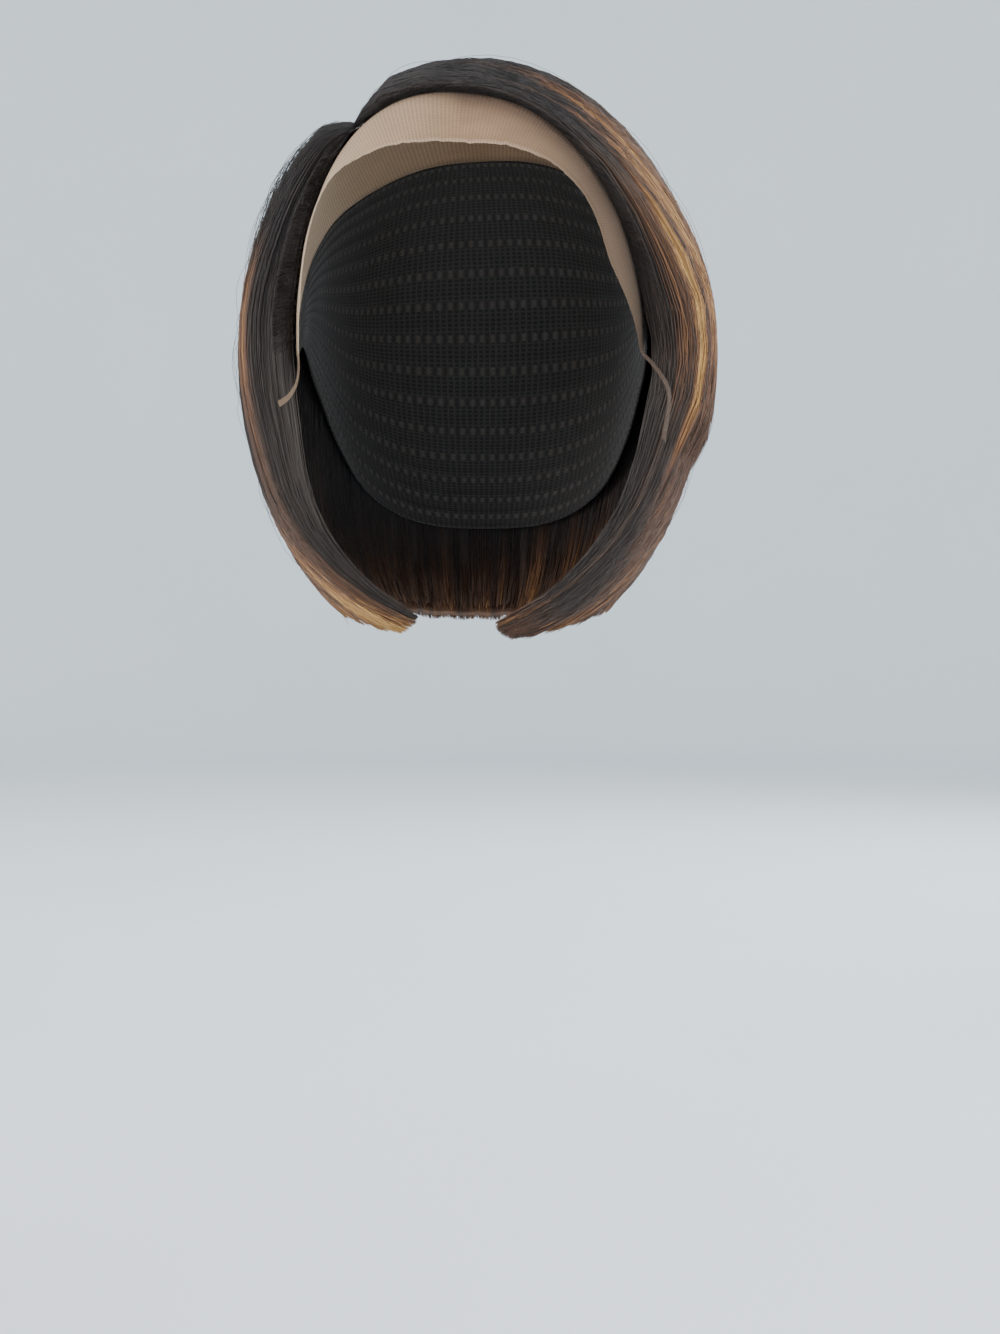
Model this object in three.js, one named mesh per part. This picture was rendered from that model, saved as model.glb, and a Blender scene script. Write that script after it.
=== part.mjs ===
// A side-parted bob wig, shown as it is worn. A lace front carries the hairline and the parting, a
// wefted cap carries the rest, and the hair lies over both as three thick walls that curl in at the
// hem: the heavy side that sweeps over the top, the back, and the light side beyond the parting.
// Millimetres, +Z up, the open front towards -Y. "Right" is +X, as seen from the front. The origin is
// on the inside of the crown, where the wig rests on what wears it.
import * as THREE from "three";

const { smoothstep, degToRad, lerp } = THREE.MathUtils;

// The hollow inside the cap: a superellipsoid round a centre below the crown.
const HOLLOW_WIDTH = 152;
const HOLLOW_FRONT = 96;
const HOLLOW_BACK = 100;
const HOLLOW_RISE = 114;
const HOLLOW_DROP = 122;
const HOLLOW_FULLNESS = 2.3;

// Net and lace.
const LACE_THICKNESS = 1.0;
const CAP_THICKNESS = 1.2;
const SEAM_GAP = 0.4;
const TAIL_CURL = 20;

// How far the hair's outer form stands out from the hollow, and where its underside would close.
const TOP_VOLUME = 14;
const RIGHT_VOLUME = 27;
const LEFT_VOLUME = 28;
const BACK_VOLUME = 13;
const FRONT_VOLUME = 4;
const CHIN_REACH = 38;
const NAPE_REACH = 12;
const HAIR_DROP = 139;

// The hair walls. They are thin along the parting and at the two front edges, and roll up from there.
// The lifts are the runs of hair that rise from the parting, and shrink where it ends at the crown.
const HAIR_CLEARANCE = 0.7;
const EDGE_THICKNESS = 2.2;
const SIDE_THICKNESS = 20;
const HEM_THICKNESS = 9;
const HEM_TAPER_SHARE = 0.45;
const EDGE_ROLL = 14;
const PARTING_WIDTH = 2.6;
const RIGHT_LIFT = 24;
const LEFT_LIFT = 13;
const CROWN_LIFT = 8;
const CROWN_FADE = 55;
const WALL_GAP = 0.5;

// Locks and layers. Each lock is a rounded ridge whose valleys are cut a little shorter at the hem.
const LOCK_RELIEF = 1.5;
const LOCK_NOTCH = 6;
const LOCK_ROUNDNESS = 0.8;
const LAYER_THICKNESS = 4.5;

// Fineness of the grids.
const LOCK_COLUMNS = 4;
const HAIR_ROWS = 21;
const LACE_GRID = { columns: 48, rows: 6 };
const CAP_GRID = { columns: 36, rows: 12 };

const DARK_BROWN = 0x2a1f19;
const LACE_TONE = 0xb3937c;
const NET_TONE = 0x1b1613;

const CENTRE = new THREE.Vector3(0, 0, -HOLLOW_RISE);

// The three hair walls, as shares round the guide table below.
const HAIR_WALLS = [
  { name: "heavy_side_hair", from: 0, to: 0.38, locks: 9 },
  { name: "back_hair", from: 0.38, to: 0.66, locks: 7 },
  { name: "light_side_hair", from: 0.66, to: 1, locks: 7 },
];

// Directions from the hollow's centre are [azimuth, elevation] in degrees: 0 is right, 90 is the back.
const PARTING_FRONT = [-142, 55];
const PARTING_CROWN = [124, 62];

// Below the ears the hair swings out to the front and a little to the back, over this drop.
const SWING = { from: -20, to: -60 };
// The layered top lock on the right fades in and out round the wig. It ends in a step at the side,
// which is blended into a long slope towards the back.
const LAYER = {
  front: [-34, -8], rear: [70, 110], top: [8, 46], step: [-19, -16], blend: [4, 46], slope: [-48, -20],
};

// Guide locks from the right front edge, round the back, to the left front edge. Each has its root
// as a share of the parting and then the directions that it passes.
const GUIDES = [
  { lock: "right edge", part: 0, over: [-55, 46], side: [-24, 0], cheek: [-33, -32], hem: [-77, -65] },
  { lock: "right front", part: 0.12, over: [-43, 48], side: [-10, 6], cheek: [-17, -33], hem: [-54, -65.5] },
  { lock: "right side", part: 0.34, over: [-14, 50], side: [10, 6], cheek: [8, -34], hem: [-12, -63.5] },
  { lock: "right of back", part: 0.6, over: [40, 50], side: [38, 5], cheek: [38, -32], hem: [31, -61] },
  { lock: "back right", part: 0.85, over: [72, 46], side: [66, 5], cheek: [66, -30], hem: [63, -59.5] },
  { lock: "back centre", part: 1, over: [101, 38], side: [93, 6], cheek: [93, -29], hem: [93, -59] },
  { lock: "back left", part: 0.92, over: [125, 40], side: [120, 6], cheek: [120, -30], hem: [123, -59.5] },
  { lock: "left of back", part: 0.66, over: [142, 42], side: [147, 5], cheek: [147, -32], hem: [153, -61] },
  { lock: "left side", part: 0.34, over: [176, 42], side: [172, 6], cheek: [174, -34], hem: [-168, -63] },
  { lock: "left front", part: 0.12, over: [-160, 38], side: [-168, 9], cheek: [-162, -33], hem: [-133, -64] },
  { lock: "left edge", part: 0, over: [-149, 38], side: [-155, 14], cheek: [-146, -31], hem: [-109, -63] },
];

// The lace panel from the right ear tab over the hairline to the left ear tab, with a loose tail at
// each end: its free edge, its seam with the cap, and how far a tail curls off, as a share.
const LACE = [
  { at: "right tail end", edge: [-37.5, -24], seam: [-34.8, -25], curl: 1 },
  { at: "right tail middle", edge: [-34, -14.5], seam: [-31.6, -14], curl: 0.85 },
  { at: "right tail bend", edge: [-31.5, -8.5], seam: [-29, -7.5], curl: 0.38 },
  { at: "right tail root", edge: [-30, -5], seam: [-27, -4], curl: 0.08 },
  { at: "right ear tab", edge: [-29, -2], seam: [-21, 1], curl: 0 },
  { at: "right temple", edge: [-47, 16], seam: [-10, 18], curl: 0 },
  { at: "right corner", edge: [-55, 31], seam: [5, 38], curl: 0 },
  { at: "right hairline", edge: [-68, 38], seam: [42, 57], curl: 0 },
  { at: "middle", edge: [-90, 40.5], seam: [90, 63], curl: 0 },
  { at: "left hairline", edge: [-117, 41], seam: [137, 55], curl: 0 },
  { at: "left corner", edge: [-143, 37.5], seam: [172, 38], curl: 0 },
  { at: "left temple", edge: [-148, 20], seam: [-172, 18], curl: 0 },
  { at: "left ear tab", edge: [-148.5, -3], seam: [-160, 1], curl: 0 },
  { at: "left tail root", edge: [-147.2, -8], seam: [-150, -6.5], curl: 0 },
  { at: "left tail bend", edge: [-145.7, -13.3], seam: [-147.4, -12.2], curl: 0.1 },
  { at: "left tail middle", edge: [-144, -16.5], seam: [-145.7, -15.2], curl: 0.33 },
  { at: "left tail end", edge: [-142.7, -17.8], seam: [-144.2, -16.3], curl: 0.6 },
];

// The cap's lower edge, from the right ear round the nape to the left ear.
const CAP_EDGE = [
  { at: "right ear front", edge: [-15, -1] },
  { at: "right ear top", edge: [2, 4] },
  { at: "right ear back", edge: [22, -8] },
  { at: "right nape", edge: [52, -33] },
  { at: "nape", edge: [90, -38] },
  { at: "left nape", edge: [128, -33] },
  { at: "left ear back", edge: [158, -8] },
  { at: "left ear top", edge: [178, 4] },
  { at: "left ear front", edge: [-167, -1] },
];

function direction(azimuth, elevation) {
  const flat = Math.cos(degToRad(elevation));
  const turn = degToRad(azimuth);
  return new THREE.Vector3(flat * Math.cos(turn), flat * Math.sin(turn), Math.sin(degToRad(elevation)));
}

const azimuthOf = (d) => THREE.MathUtils.radToDeg(Math.atan2(d.y, d.x));
const elevationOf = (d) => THREE.MathUtils.radToDeg(Math.asin(d.z));

// Radius of a superellipsoid along a unit direction, with its own reach on each side of the centre.
function superRadius(d, reach, fullness) {
  const x = d.x / (d.x < 0 ? reach.left : reach.right);
  const y = d.y / (d.y < 0 ? reach.front : reach.back);
  const z = d.z / (d.z < 0 ? reach.down : reach.up);
  const sum = [x, y, z].reduce((total, part) => total + Math.abs(part) ** fullness, 0);
  return sum ** (-1 / fullness);
}

function hollowRadius(d) {
  const side = HOLLOW_WIDTH / 2;
  const reach = {
    left: side, right: side, front: HOLLOW_FRONT, back: HOLLOW_BACK, up: HOLLOW_RISE, down: HOLLOW_DROP,
  };
  return superRadius(d, reach, HOLLOW_FULLNESS);
}

function layerRise(d) {
  const around = smoothstep(azimuthOf(d), ...LAYER.front) * (1 - smoothstep(azimuthOf(d), ...LAYER.rear));
  const blended = smoothstep(azimuthOf(d), ...LAYER.blend);
  const ends = LAYER.step.map((edge, i) => lerp(edge, LAYER.slope[i], blended));
  const down = (1 - smoothstep(elevationOf(d), ...LAYER.top)) * smoothstep(elevationOf(d), ...ends);
  return LAYER_THICKNESS * around * down;
}

function formRadius(d) {
  const low = smoothstep(-elevationOf(d), -SWING.from, -SWING.to);
  const reach = {
    left: HOLLOW_WIDTH / 2 + LEFT_VOLUME,
    right: HOLLOW_WIDTH / 2 + RIGHT_VOLUME,
    front: HOLLOW_FRONT + FRONT_VOLUME + CHIN_REACH * low,
    back: HOLLOW_BACK + BACK_VOLUME + NAPE_REACH * low,
    up: HOLLOW_RISE + TOP_VOLUME,
    down: HAIR_DROP,
  };
  return superRadius(d, reach, 2) + layerRise(d);
}

const place = (d, radius) => d.clone().multiplyScalar(radius).add(CENTRE);

// A closed wall between two sheets. outer(i, j) and inner(i, j) give the corners of the grid, whose
// columns run from right to left over the wig and whose rows run down and back.
function wall(outer, inner, columns, rows) {
  const points = [];
  const index = [];
  const sheetSize = (columns + 1) * (rows + 1);
  for (const sheet of [outer, inner])
    for (let i = 0; i <= columns; i++) for (let j = 0; j <= rows; j++) points.push(sheet(i, j));
  const out = (i, j) => i * (rows + 1) + j;
  const into = (i, j) => sheetSize + out(i, j);
  const quad = (a, b, c, d) => index.push(a, b, c, a, c, d);
  for (let i = 0; i < columns; i++)
    for (let j = 0; j < rows; j++) {
      quad(out(i, j), out(i, j + 1), out(i + 1, j + 1), out(i + 1, j));
      quad(into(i, j), into(i + 1, j), into(i + 1, j + 1), into(i, j + 1));
    }
  for (let i = 0; i < columns; i++) {
    quad(out(i, 0), out(i + 1, 0), into(i + 1, 0), into(i, 0));
    quad(out(i, rows), into(i, rows), into(i + 1, rows), out(i + 1, rows));
  }
  for (let j = 0; j < rows; j++) {
    quad(out(0, j), into(0, j), into(0, j + 1), out(0, j + 1));
    quad(out(columns, j), out(columns, j + 1), into(columns, j + 1), into(columns, j));
  }
  const geometry = new THREE.BufferGeometry().setFromPoints(points);
  geometry.setIndex(index);
  geometry.computeVertexNormals();
  return geometry;
}

// A smooth line over the hollow through one column of a table, standing off it where the row curls.
function lineOnHollow(table, column) {
  const curve = new THREE.CatmullRomCurve3(
    table.map((row) => {
      const d = direction(...row[column]);
      return place(d, hollowRadius(d) + TAIL_CURL * (row.curl ?? 0));
    }),
  );
  return (share) => curve.getPoint(share);
}

// How far a point on a line stands off the hollow.
const standOff = (point) => {
  const d = point.clone().sub(CENTRE);
  return Math.max(0, d.length() - hollowRadius(d.normalize()));
};

// A thin panel of lace or net between two such lines. It starts startGap behind the first.
function panel(front, rear, thickness, { columns, rows }, startGap) {
  const sheet = (extra) => (i, j) => {
    const from = front(i / columns);
    const to = rear(i / columns);
    const share = lerp(startGap / from.distanceTo(to), 1, j / rows);
    const lift = lerp(standOff(from), standOff(to), share);
    const d = from.lerp(to, share).sub(CENTRE).normalize();
    return place(d, hollowRadius(d) + lift + extra);
  };
  return wall(sheet(thickness), sheet(0), columns, rows);
}

// The root of a lock, as a share of the parting from the front to the crown.
function partingAt(share) {
  return direction(...PARTING_FRONT).lerp(direction(...PARTING_CROWN), share).normalize();
}

// The guide locks' stops, each as a smooth line round the wig.
const stopLines = [
  GUIDES.map((guide) => partingAt(guide.part)),
  ...["over", "side", "cheek", "hem"].map((stop) => GUIDES.map((guide) => direction(...guide[stop]))),
].map((stops) => new THREE.CatmullRomCurve3(stops));

// One lock's run from the parting to the hem, as a curve of unit directions.
function lockAt(round) {
  const curve = new THREE.CatmullRomCurve3(stopLines.map((line) => line.getPoint(round).normalize()));
  curve.arcLengthDivisions = 80;
  return { curve, length: curve.getLength() * HOLLOW_RISE };
}

// How proud a lock stands: 1 along its middle, 0 in the valley beside it.
const ridge = (phase) => Math.abs(Math.sin(Math.PI * phase)) ** LOCK_ROUNDNESS;

const frontEdges = [lockAt(0), lockAt(1)];
const carrier = Math.max(LACE_THICKNESS, CAP_THICKNESS) + HAIR_CLEARANCE;
const BACK = HAIR_WALLS.find((row) => row.name === "back_hair");

// The run over which a lock rises from its root to the outer form.
function liftOf(round, root) {
  const side = lerp(RIGHT_LIFT, LEFT_LIFT, smoothstep(round, BACK.from, BACK.to));
  const toCrown = root.distanceTo(partingAt(1)) * HOLLOW_RISE;
  return lerp(CROWN_LIFT, side, smoothstep(toCrown, 0, CROWN_FADE));
}

function hairWall({ from, to, locks }) {
  const columns = locks * LOCK_COLUMNS;

  const sample = (round, down) => {
    const lock = lockAt(round);
    const proud = ridge(((round - from) / (to - from)) * locks);
    const start = PARTING_WIDTH / 2 / lock.length;
    const end = 1 - (LOCK_NOTCH / lock.length) * (1 - proud);
    const along = lerp(start, end, down);
    const d = lock.curve.getPointAt(along).normalize();

    const form = formRadius(d);
    const onCap = hollowRadius(d) + carrier;
    const thickness = lerp(SIDE_THICKNESS, HEM_THICKNESS, smoothstep(along, HEM_TAPER_SHARE, 1));
    const inner = Math.max(onCap, form - thickness);

    const risen = smoothstep(along * lock.length, 0, liftOf(round, lock.curve.getPoint(0)));
    const full = lerp(onCap + EDGE_THICKNESS, form, risen) - LOCK_RELIEF * (1 - proud) * risen;
    const toEdge = frontEdges.map((edge) => edge.curve.getPointAt(along).normalize().distanceTo(d) * form);
    const roll = Math.sqrt(1 - (1 - Math.min(1, Math.min(...toEdge) / EDGE_ROLL)) ** 2);
    const outer = inner + Math.max(EDGE_THICKNESS, lerp(EDGE_THICKNESS, full - inner, roll));
    return { outer: place(d, outer), inner: place(d, inner) };
  };

  // The walls' shared borders are drawn in by half the gap between them.
  const corner = (sheet) => (i, j) => {
    const share = i / columns;
    const here = sample(lerp(from, to, share), j / HAIR_ROWS)[sheet];
    if (share > 0 && share < 1) return here;
    const within = lerp(from, to, lerp(share, 1 / 2, 1 / columns));
    const inward = sample(within, j / HAIR_ROWS)[sheet].sub(here);
    return here.add(inward.setLength(WALL_GAP / 2));
  };
  return wall(corner("outer"), corner("inner"), columns, HAIR_ROWS);
}

const laceEdge = lineOnHollow(LACE, "edge");
const laceSeam = lineOnHollow(LACE, "seam");
const capEdge = lineOnHollow(CAP_EDGE, "edge");
// The cap is sewn to the lace between the ear tabs only.
const seamRow = (name) => LACE.findIndex((row) => row.at === name) / (LACE.length - 1);
const capSeam = (share) => laceSeam(lerp(seamRow("right ear tab"), seamRow("left ear tab"), share));

const wig = new THREE.Group();
function add(name, geometry, color, roughness) {
  const mesh = new THREE.Mesh(geometry, new THREE.MeshStandardMaterial({ color, roughness, metalness: 0 }));
  mesh.name = name;
  wig.add(mesh);
}
add("lace_front", panel(laceEdge, laceSeam, LACE_THICKNESS, LACE_GRID, 0), LACE_TONE, 0.9);
add("wefted_cap", panel(capSeam, capEdge, CAP_THICKNESS, CAP_GRID, SEAM_GAP), NET_TONE, 0.85);
for (const row of HAIR_WALLS) add(row.name, hairWall(row), DARK_BROWN, 0.42);

export default wig;
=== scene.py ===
import math

import bmesh
import bpy
import numpy as np
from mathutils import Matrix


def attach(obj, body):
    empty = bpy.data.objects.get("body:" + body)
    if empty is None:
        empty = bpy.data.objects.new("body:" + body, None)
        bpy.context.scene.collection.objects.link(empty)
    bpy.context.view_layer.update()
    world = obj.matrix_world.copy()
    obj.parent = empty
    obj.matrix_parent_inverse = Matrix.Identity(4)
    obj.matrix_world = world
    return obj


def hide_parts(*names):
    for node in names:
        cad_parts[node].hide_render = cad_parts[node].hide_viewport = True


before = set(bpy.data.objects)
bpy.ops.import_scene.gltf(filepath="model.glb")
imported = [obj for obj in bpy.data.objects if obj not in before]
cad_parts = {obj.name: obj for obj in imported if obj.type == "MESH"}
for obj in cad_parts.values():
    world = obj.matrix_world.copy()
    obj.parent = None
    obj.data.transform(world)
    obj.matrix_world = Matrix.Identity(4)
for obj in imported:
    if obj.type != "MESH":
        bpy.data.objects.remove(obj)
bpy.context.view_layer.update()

# LACE FRONT
# A sheer net in a warm tan. It carries the hairline and the parting, and it is cut by hand along the
# front, so its free edge is pale and a little ragged, with a loose tail left at each ear tab.

HOLLOW = {"left": 0.076, "right": 0.076, "front": 0.096, "back": 0.1, "up": 0.114, "down": 0.122}
HOLLOW_FULLNESS = 2.3
CENTRE = np.array([0.0, 0.0, -HOLLOW["up"]])
LACE_STANDS_OFF = 0.0004
LACE_THICKNESS = 0.0004
TAIL_CURL = 0.02
LACE_COLUMNS, LACE_ROWS = 260, 24
CREASE_HEIGHT = 0.00018
RIPPLE_HEIGHT = 0.00012
RAGGED_SHARE = 0.0035  # how far the cut edge strays, as a share of the panel's depth
# at, free edge, seam with the cap (azimuth and elevation from the hollow's centre), share of curl
LACE = [
    ("right tail end", (-37.5, -24), (-34.8, -25), 1),
    ("right tail middle", (-34, -14.5), (-31.6, -14), 0.85),
    ("right tail bend", (-31.5, -8.5), (-29, -7.5), 0.38),
    ("right tail root", (-30, -5), (-27, -4), 0.08),
    ("right ear tab", (-29, -2), (-21, 1), 0),
    ("right temple", (-47, 16), (-10, 18), 0),
    ("right corner", (-55, 31), (5, 38), 0),
    ("right hairline", (-68, 38), (42, 57), 0),
    ("middle", (-90, 40.5), (90, 63), 0),
    ("left hairline", (-117, 41), (137, 55), 0),
    ("left corner", (-143, 37.5), (172, 38), 0),
    ("left temple", (-148, 20), (-172, 18), 0),
    ("left ear tab", (-148.5, -3), (-160, 1), 0),
    ("left tail root", (-147.2, -8), (-150, -6.5), 0),
    ("left tail bend", (-145.7, -13.3), (-147.4, -12.2), 0.1),
    ("left tail middle", (-144, -16.5), (-145.7, -15.2), 0.33),
    ("left tail end", (-142.7, -17.8), (-144.2, -16.3), 0.6),
]


def smooth(x, start, end):
    x = np.clip((x - start) / (end - start), 0, 1)
    return x * x * (3 - 2 * x)


def unit(v):
    return v / np.linalg.norm(v, axis=-1, keepdims=True)


def direction(turns):
    azimuth, elevation = np.radians(np.asarray(turns, float)).T
    flat = np.cos(elevation)
    return np.stack([flat * np.cos(azimuth), flat * np.sin(azimuth), np.sin(elevation)], -1)


def through(points, share):
    """The smooth line through points (..., n, 3), at each share (m,) of it: (..., m, 3)."""
    count = points.shape[-2]
    share = np.asarray(share, float)
    k = np.minimum((share * (count - 1)).astype(int), count - 2)
    w = (share * (count - 1) - k)[:, None]
    before = 2 * points[..., :1, :] - points[..., 1:2, :]
    after = 2 * points[..., -1:, :] - points[..., -2:-1, :]
    line = np.concatenate([before, points, after], -2)
    p0, p1, p2, p3 = (line[..., k + i, :] for i in range(4))
    d0, d1, d2 = (
        np.maximum(np.linalg.norm(b - a, axis=-1, keepdims=True), 1e-8) ** 0.5
        for a, b in ((p0, p1), (p1, p2), (p2, p3))
    )
    d0 = np.where(d0 < 1e-4, d1, d0)
    d2 = np.where(d2 < 1e-4, d1, d2)
    t1 = ((p1 - p0) / d0 - (p2 - p0) / (d0 + d1) + (p2 - p1) / d1) * d1
    t2 = ((p2 - p1) / d1 - (p3 - p1) / (d1 + d2) + (p3 - p2) / d2) * d1
    return p1 + t1 * w + (3 * (p2 - p1) - 2 * t1 - t2) * w**2 + (2 * (p1 - p2) + t1 + t2) * w**3


def super_radius(d, reach, fullness):
    x = np.abs(d[..., 0]) / np.where(d[..., 0] < 0, reach["left"], reach["right"])
    y = np.abs(d[..., 1]) / np.where(d[..., 1] < 0, reach["front"], reach["back"])
    z = np.abs(d[..., 2]) / np.where(d[..., 2] < 0, reach["down"], reach["up"])
    return (x**fullness + y**fullness + z**fullness) ** (-1 / fullness)


def hollow_radius(d):
    return super_radius(d, HOLLOW, HOLLOW_FULLNESS)


def line_on_hollow(turns, off):
    d = direction(turns)
    return CENTRE + d * (hollow_radius(d) + np.asarray(off))[:, None]


def panel_points(front, rear, s, t, off):
    """Points at share t from the front line to the rear one, off the hollow by off."""
    a, b = through(front, s), through(rear, s)
    arms = (a - CENTRE, b - CENTRE)
    lift = [np.maximum(0, np.linalg.norm(arm, axis=-1) - hollow_radius(unit(arm))) for arm in arms]
    d = unit(a + (b - a) * t[:, None] - CENTRE)
    return CENTRE + d * (hollow_radius(d) + lift[0] + (lift[1] - lift[0]) * t + off)[:, None]


def closed_wall(name, columns, rows, outer, inner, marks=None, run_of=lambda s, t: (s, t)):
    """A closed wall between two sheets, with its run as UV map and any mark as an attribute."""
    bm = bmesh.new()
    run = bm.loops.layers.uv.new("run")
    layers = {key: bm.verts.layers.float.new(key) for key in marks or {}}
    rims = []
    for sheet in (outer, inner):
        verts = bmesh.ops.create_grid(bm, x_segments=columns, y_segments=rows, size=0.5)["verts"]
        grid = np.array([(v.co.x + 0.5, v.co.y + 0.5) for v in verts])
        rims += [e for v in verts for e in v.link_edges if e.is_boundary]
        for v, x, y in zip(verts, *run_of(grid[:, 0], grid[:, 1])):
            for corner in v.link_loops:
                corner[run].uv = (x, y)
        places = sheet(grid[:, 0], grid[:, 1])
        for v, place in zip(verts, places):
            v.co = place
        for key, mark in (marks or {}).items():
            for v, value in zip(verts, mark(grid[:, 0], grid[:, 1], places)):
                v[layers[key]] = value
    bmesh.ops.bridge_loops(bm, edges=list(set(rims)))
    bmesh.ops.recalc_face_normals(bm, faces=bm.faces)
    mesh = bpy.data.meshes.new(name)
    bm.to_mesh(mesh)
    bm.free()
    mesh.shade_smooth()
    piece = bpy.data.objects.new(name, mesh)
    bpy.context.scene.collection.objects.link(piece)
    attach(piece, "root")
    return piece


class Value:
    """A number or colour that varies over a finish, so that it can be written as a sum."""

    def __init__(self, finish, socket):
        self.finish, self.socket = finish, socket

    def maths(self, operation, *terms):
        return self.finish.node("ShaderNodeMath", {"operation": operation}, dict(enumerate(terms)))

    def __add__(self, other):
        return self.maths("ADD", self, other)

    __radd__ = __add__

    def __sub__(self, other):
        return self.maths("SUBTRACT", self, other)

    def __rsub__(self, other):
        return self.maths("SUBTRACT", other, self)

    def __mul__(self, other):
        return self.maths("MULTIPLY", self, other)

    __rmul__ = __mul__


class Finish:
    """A material that starts from constants on its shader and takes what varies as nodes."""

    def __init__(self, name, **constants):
        self.material = bpy.data.materials.new(name)
        self.material.use_nodes = True
        self.tree = self.material.node_tree
        self.shader = self.tree.nodes["Principled BSDF"]
        for key, value in constants.items():
            self.shader.inputs[key.replace("_", " ").title().replace("Ior", "IOR")].default_value = value

    def node(self, kind, settings, inputs, output=0):
        made = self.tree.nodes.new(kind)
        for key, value in settings.items():
            if key == "stops":
                while len(made.color_ramp.elements) < len(value):
                    made.color_ramp.elements.new(0.5)
                for element, (place, colour) in zip(made.color_ramp.elements, value):
                    element.position, element.color = place, (*colour, 1)
            else:
                setattr(made, key, value)
        for key, value in inputs.items():
            self.put(made.inputs[key], value)
        return Value(self, made.outputs[output])

    def put(self, socket, value):
        if isinstance(value, Value):
            self.tree.links.new(value.socket, socket)
        elif isinstance(value, tuple) and len(socket.default_value) == 4:
            socket.default_value = (*value, 1)
        else:
            socket.default_value = value

    def shade(self, **sockets):
        for key, value in sockets.items():
            self.put(self.shader.inputs[key.replace("_", " ").title()], value)

    def attribute(self, name, output="Fac"):
        return self.node("ShaderNodeAttribute", {"attribute_name": name}, {}, output)

    def run(self, across, along):
        """The piece's own grid, stretched by so much each way."""
        grid = self.node("ShaderNodeUVMap", {"uv_map": "run"}, {})
        return self.node("ShaderNodeVectorMath", {"operation": "MULTIPLY"}, {0: grid, 1: (across, along, 1)})

    def ramp(self, value, stops):
        return self.node("ShaderNodeValToRGB", {"stops": stops}, {"Fac": value})

    def mask(self, value, *stops):
        """A share from 0 to 1, which changes from stop to stop."""
        return self.ramp(value, [(place, (share,) * 3) for place, share in stops])

    def netting(self, across, along, uneven):
        """How far a spot lies from the threads of a net with so many holes each way."""
        inputs = {"Vector": self.run(across, along), "Scale": 1, "Randomness": uneven}
        return self.node("ShaderNodeTexVoronoi", {"feature": "DISTANCE_TO_EDGE"}, inputs)

    def mix(self, share, low, high, blend="MIX"):
        made = self.tree.nodes.new("ShaderNodeMix")
        made.data_type, made.blend_type = "RGBA", blend
        for key, value in ((0, share), (6, low), (7, high)):
            self.put(made.inputs[key], value)
        return Value(self, made.outputs[2])

    def noise(self, where, scale, detail=2.0, roughness=0.5):
        inputs = {"Vector": where, "Scale": scale, "Detail": detail, "Roughness": roughness}
        return self.node("ShaderNodeTexNoise", {}, inputs)

    def bump(self, height, strength, distance):
        return self.node("ShaderNodeBump", {}, {"Height": height, "Strength": strength, "Distance": distance})


# The hair's run is worked out here already, because the lace darkens towards the roots, partly for the roots
# seen through the net and partly as the hair's painted shadow.
PARTING = direction([(-142, 55), (124, 62)])
# root as a share of the parting, then the places that a guide lock passes: over, side, low side, hem
GUIDES = [
    (0.0, (-55, 46), (-24, 0), (-33, -32), (-77, -65)),
    (0.12, (-43, 48), (-10, 6), (-17, -33), (-54, -65.5)),
    (0.34, (-14, 50), (10, 6), (8, -34), (-12, -63.5)),
    (0.6, (40, 50), (38, 5), (38, -32), (31, -61)),
    (0.85, (72, 46), (66, 5), (66, -30), (63, -59.5)),
    (1.0, (101, 38), (93, 6), (93, -29), (93, -59)),
    (0.92, (125, 40), (120, 6), (120, -30), (123, -59.5)),
    (0.66, (142, 42), (147, 5), (147, -32), (153, -61)),
    (0.34, (176, 42), (172, 6), (174, -34), (-168, -63)),
    (0.12, (-160, 38), (-168, 9), (-162, -33), (-133, -64)),
    (0.0, (-149, 38), (-155, 14), (-146, -31), (-109, -63)),
]
ROUNDS = np.linspace(0, 1, 737)
ALONGS = np.linspace(0, 1, 141)
roots = unit(PARTING[0] + (PARTING[1] - PARTING[0]) * np.array([g[0] for g in GUIDES])[:, None])
stops = np.stack([roots, *(direction([g[i] for g in GUIDES]) for i in range(1, 5))])
lines = np.moveaxis(unit(through(stops, ROUNDS)), 0, 1)
lines = through(lines, np.linspace(0, 1, 81))
paces = np.linalg.norm(np.diff(lines, axis=1), axis=2)
travel = np.concatenate([np.zeros((len(ROUNDS), 1)), np.cumsum(paces, 1)], 1)
lock_length = travel[:, -1] * HOLLOW["up"]
FLOW = np.stack(
    [
        np.stack([np.interp(ALONGS * total[-1], total, line[:, i]) for i in range(3)], -1)
        for line, total in zip(lines, travel)
    ]
)
for again in range(30):
    FLOW[:, 1:-1] = (FLOW[:, :-2] + 2 * FLOW[:, 1:-1] + FLOW[:, 2:]) / 4
FLOW = unit(FLOW)


def lace_sheet(off):
    front = line_on_hollow([row[1] for row in LACE], [row[3] * TAIL_CURL for row in LACE])
    rear = line_on_hollow([row[2] for row in LACE], [row[3] * TAIL_CURL for row in LACE])

    def place(s, t):
        ragged = RAGGED_SHARE * (np.sin(s * 611) * np.sin(s * 257 + 1) + 0.6 * np.sin(s * 1489))
        ragged = ragged * (1 - smooth(t, 0, 0.05))
        crease = np.sin(s * 1030 + 5 * t) * smooth(s, 0.42, 0.5) * (1 - smooth(s, 0.56, 0.66))
        ripple = CREASE_HEIGHT * crease * (1 - smooth(t, 0.1, 0.3)) + RIPPLE_HEIGHT * np.sin(s * 95 + t * 7)
        inside = smooth(s, 0.26, 0.3) * (1 - smooth(s, 0.7, 0.74))
        return panel_points(front, rear, s, t + ragged * inside, off + ripple * inside)

    return place


def to_hairline(s, t, places):
    edge = np.concatenate([FLOW[0], FLOW[-1]])
    d = unit(places - CENTRE)
    return np.min(np.linalg.norm(d[:, None] - edge[None], axis=2), axis=1) * hollow_radius(d)


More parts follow.
